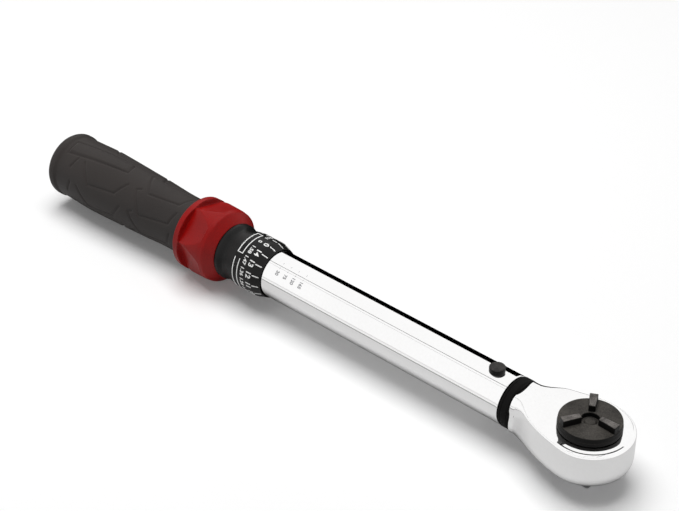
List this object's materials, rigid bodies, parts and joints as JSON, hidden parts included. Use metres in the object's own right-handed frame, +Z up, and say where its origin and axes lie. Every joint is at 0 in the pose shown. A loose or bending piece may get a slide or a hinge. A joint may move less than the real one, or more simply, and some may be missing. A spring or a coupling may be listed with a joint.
{
  "type": "torque wrench",
  "caption": "Click-type torque wrench: reversible ratchet head with a square drive, tubular body, screw-thimble torque scale, sliding lock ring and a soft grip.",
  "frame": {"origin": "centre of the square drive's end face, where it stands on a surface", "axes": "+X along the tube towards the ratchet head's nose, +Z up the drive's axis towards the reversing dial, metres"},
  "size_m": [0.2993, 0.0334, 0.0329],
  "materials": {
    "chrome": "polished chrome plate on steel",
    "steel": "plain machined steel",
    "black_steel": "black oxide steel, satin",
    "black_aluminium": "black anodised with white filled marks",
    "red_ring": "red moulded plastic, satin",
    "grip_rubber": "soft moulded rubber, dark grey",
    "seal_rubber": "black moulded rubber",
    "brass": "plain turned brass"
  },
  "bodies": {
    "tube": {"tube": "chrome", "pivot_pin": "black_steel", "adjusting_nut": "brass", "nut_pin": "steel", "main_spring": "steel"},
    "head": {"ratchet_head": "chrome", "head_seal": "seal_rubber", "head_cover": "steel", "cover_screw_1": "steel", "cover_screw_2": "steel", "pawl_pin": "steel", "pawl_spring": "steel"},
    "drive": {"drive_gear": "steel", "drive_ball_spring": "steel"},
    "drive_ball": {"drive_ball": "chrome"},
    "dial": {"reverse_dial": "black_steel", "dial_pin": "steel", "dial_retaining_ring": "steel"},
    "pawl": {"pawl": "steel"},
    "pawl_plunger": {"pawl_plunger": "steel"},
    "plunger": {"plunger": "steel"},
    "tilt_block": {"tilt_block": "steel"},
    "spring_seat": {"spring_seat": "steel", "thrust_ball": "steel"},
    "handle": {"thimble_sleeve": "black_aluminium", "adjusting_screw": "steel", "handle_plug": "steel", "plug_pin": "steel", "nut_washer": "steel", "handle_nut": "steel", "grip": "grip_rubber", "end_cap": "seal_rubber", "lock_ring_spring": "steel"},
    "lock_ring": {"lock_ring": "red_ring"},
    "lock_ball_1": {"lock_ball_1": "steel"},
    "lock_ball_2": {"lock_ball_2": "steel"},
    "lock_ball_3": {"lock_ball_3": "steel"}
  },
  "joints": [
    {"name": "adjust_slide", "type": "slide", "parent": "tube", "child": "spring_seat", "axis": [1, 0, 0], "range_m": [0, 0.021], "deforming": ["main_spring"]},
    {"name": "handle_turn", "type": "hinge", "parent": "spring_seat", "child": "handle", "pos_m": [-0.2, 0, 0.017], "axis": [1, 0, 0], "range_deg": [0, 5400]},
    {"name": "lock_ring_slide", "type": "slide", "parent": "handle", "child": "lock_ring", "axis": [-1, 0, 0], "range_m": [0, 0.0025], "stiffness_N_per_m": 2000, "deforming": ["lock_ring_spring"]},
    {"name": "lock_ball_1_slide", "type": "slide", "parent": "handle", "child": "lock_ball_1", "axis": [0, 0, 1], "range_m": [0, 0.00061]},
    {"name": "lock_ball_2_slide", "type": "slide", "parent": "handle", "child": "lock_ball_2", "axis": [0, -0.866, -0.5], "range_m": [0, 0.00061]},
    {"name": "lock_ball_3_slide", "type": "slide", "parent": "handle", "child": "lock_ball_3", "axis": [0, 0.866, -0.5], "range_m": [0, 0.00061]},
    {"name": "head_click", "type": "hinge", "parent": "tube", "child": "head", "pos_m": [-0.0418, 0, 0.017], "axis": [0, 0, 1], "range_deg": [0, 2.5], "stiffness_Nm_per_rad": 30},
    {"name": "plunger_recoil", "type": "slide", "parent": "tube", "child": "plunger", "axis": [-1, 0, 0], "range_m": [0, 0.0014], "deforming": ["main_spring"]},
    {"name": "tilt_block_rock", "type": "hinge", "parent": "plunger", "child": "tilt_block", "pos_m": [-0.0853, -0.0032, 0.017], "axis": [0, 0, -1], "range_deg": [0, 12]},
    {"name": "drive_spin", "type": "hinge", "parent": "head", "child": "drive", "pos_m": [0, 0, 0.01], "axis": [0, 0, 1], "continuous": true},
    {"name": "drive_ball_press", "type": "slide", "parent": "drive", "child": "drive_ball", "axis": [0, 1, 0], "range_m": [0, 0.0007], "stiffness_N_per_m": 1500, "deforming": ["drive_ball_spring"]},
    {"name": "reverse_dial_turn", "type": "hinge", "parent": "head", "child": "dial", "pos_m": [0, 0, 0.025], "axis": [0, 0, -1], "range_deg": [0, 40]},
    {"name": "pawl_rock", "type": "hinge", "parent": "head", "child": "pawl", "pos_m": [-0.0146, 0, 0.017], "axis": [0, 0, 1], "range_deg": [0, 11.5]},
    {"name": "pawl_plunger_press", "type": "slide", "parent": "head", "child": "pawl_plunger", "axis": [-1, 0, 0], "range_m": [0, 0.0012], "stiffness_N_per_m": 800, "deforming": ["pawl_spring"]}
  ],
  "couplings": [
    {"joint": "adjust_slide", "follows": "handle_turn", "m_per_rad": 0.00022282},
    {"joint": "lock_ball_1_slide", "follows": "lock_ring_slide", "ratio": 0.24},
    {"joint": "lock_ball_2_slide", "follows": "lock_ring_slide", "ratio": 0.24},
    {"joint": "lock_ball_3_slide", "follows": "lock_ring_slide", "ratio": 0.24},
    {"joint": "plunger_recoil", "follows": "head_click", "m_per_rad": 0.03},
    {"joint": "tilt_block_rock", "follows": "head_click", "ratio": 4.6},
    {"joint": "pawl_rock", "follows": "reverse_dial_turn", "ratio": 0.285}
  ]
}
